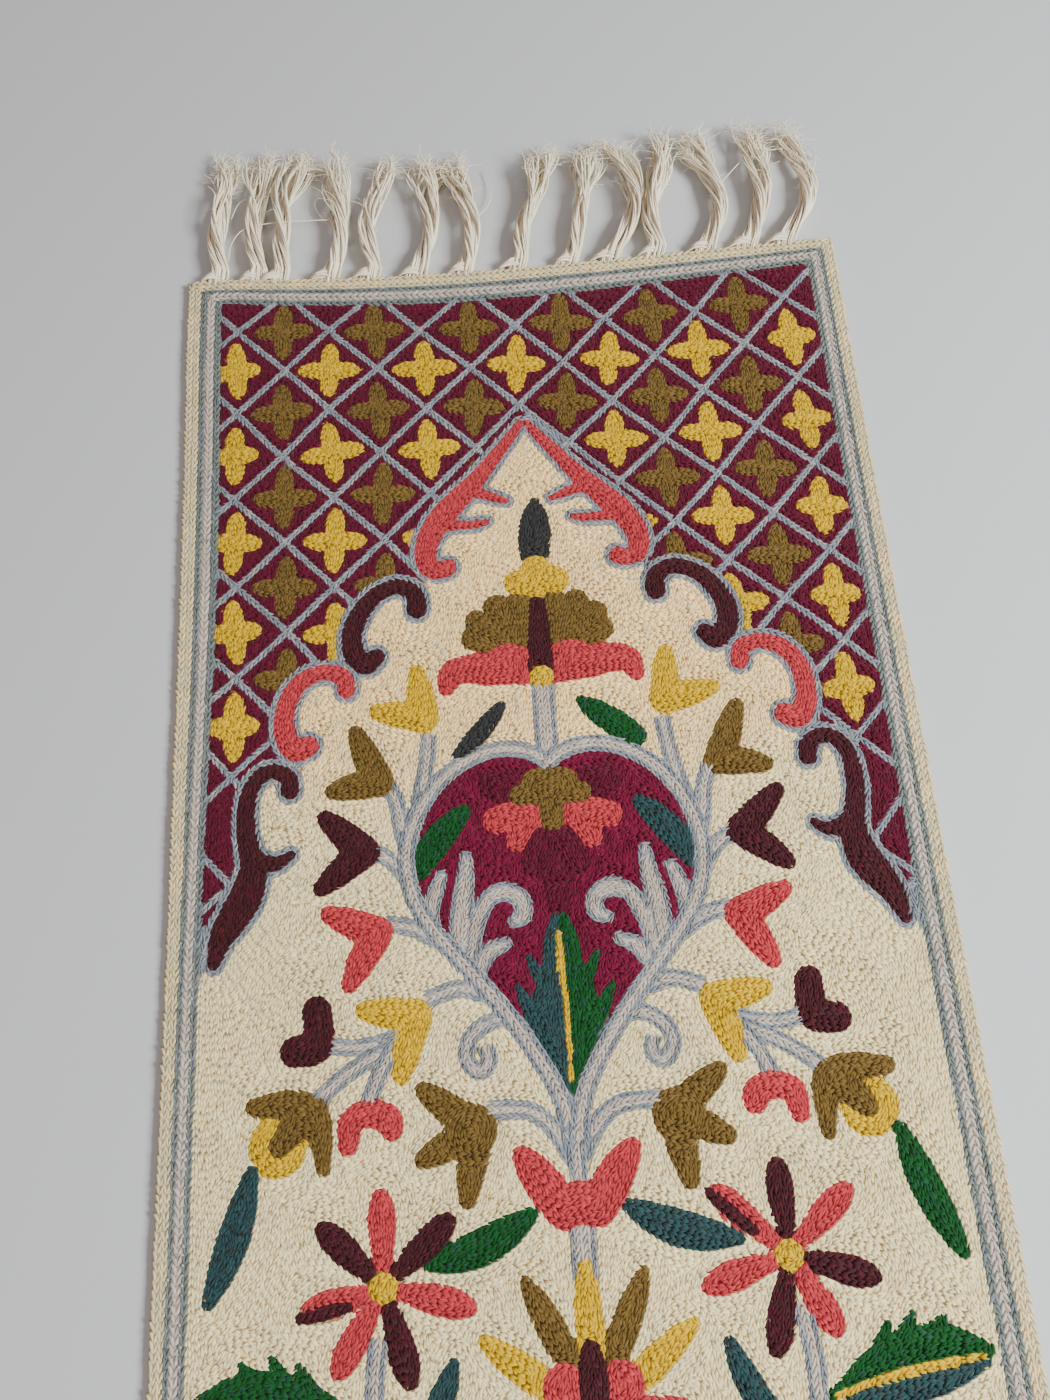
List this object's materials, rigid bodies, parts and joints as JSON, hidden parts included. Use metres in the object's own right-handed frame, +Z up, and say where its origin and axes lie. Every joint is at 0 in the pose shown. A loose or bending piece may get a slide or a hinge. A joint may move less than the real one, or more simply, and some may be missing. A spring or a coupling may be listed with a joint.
{
  "type": "chain stitch rug",
  "caption": "Small flat wool chain stitch rug with a niche of flowers on a cream field, a dark lattice ground, a plain striped border and knotted cotton tassels at both ends.",
  "frame": {"origin": "middle of the panel's underside, on the surface that the rug lies on", "axes": "+Z up out of the worked face, +Y along the rug towards the point of the arch, +X to the right when the arch points away"},
  "size_m": [0.2994, 0.7323, 0.005],
  "materials": {
    "wool_stitch": "matte worsted yarn, chain stitched in rows",
    "cotton_fringe": "matte unbleached cotton, loosely twisted"
  },
  "bodies": {
    "root": {"rug_panel": "wool_stitch", "fringe_top_01": "cotton_fringe", "fringe_top_02": "cotton_fringe", "fringe_top_03": "cotton_fringe", "fringe_top_04": "cotton_fringe", "fringe_top_05": "cotton_fringe", "fringe_top_06": "cotton_fringe", "fringe_top_07": "cotton_fringe", "fringe_top_08": "cotton_fringe", "fringe_top_09": "cotton_fringe", "fringe_top_10": "cotton_fringe", "fringe_top_11": "cotton_fringe", "fringe_top_12": "cotton_fringe", "fringe_top_13": "cotton_fringe", "fringe_top_14": "cotton_fringe", "fringe_bottom_01": "cotton_fringe", "fringe_bottom_02": "cotton_fringe", "fringe_bottom_03": "cotton_fringe", "fringe_bottom_04": "cotton_fringe", "fringe_bottom_05": "cotton_fringe", "fringe_bottom_06": "cotton_fringe", "fringe_bottom_07": "cotton_fringe", "fringe_bottom_08": "cotton_fringe", "fringe_bottom_09": "cotton_fringe", "fringe_bottom_10": "cotton_fringe", "fringe_bottom_11": "cotton_fringe", "fringe_bottom_12": "cotton_fringe", "fringe_bottom_13": "cotton_fringe", "fringe_bottom_14": "cotton_fringe"}
  },
  "joints": []
}
